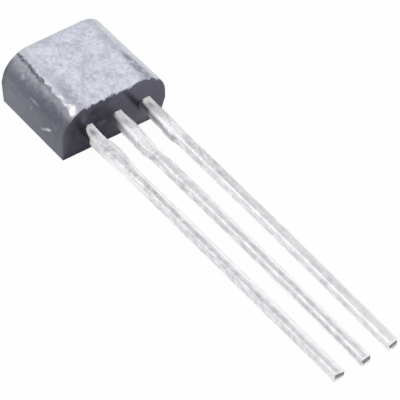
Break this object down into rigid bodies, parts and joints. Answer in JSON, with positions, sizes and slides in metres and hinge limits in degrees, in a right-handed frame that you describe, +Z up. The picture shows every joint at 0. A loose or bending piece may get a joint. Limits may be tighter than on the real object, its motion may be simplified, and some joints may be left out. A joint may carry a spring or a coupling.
{
  "type": "in-line transistor",
  "caption": "Transistor in a small moulded plastic body with a flat back, rounded front corners and straight square leads in a row, lying on its back.",
  "frame": {"origin": "under the middle of the part's bounding box, on the surface that the part lies on", "axes": "+X along the leads, from the far end of the body towards the lead tips, +Y across the leads from the collector to the emitter, +Z up, on the side of the broad front face with the rounded corners"},
  "size_m": [0.0187, 0.0046, 0.0025],
  "materials": {
    "moulded_epoxy": "fine matt moulded epoxy, with the front face bleached pale grey",
    "tinned_lead": "dull tin plate",
    "die_solder": "dull solder",
    "silicon": "polished, opaque",
    "gold_wire": "bright drawn wire"
  },
  "bodies": {
    "root": {"epoxy_body": "moulded_epoxy", "collector_lead": "tinned_lead", "base_lead": "tinned_lead", "emitter_lead": "tinned_lead", "die_attach": "die_solder", "silicon_die": "silicon", "base_bond_wire": "gold_wire", "emitter_bond_wire": "gold_wire"}
  },
  "joints": []
}
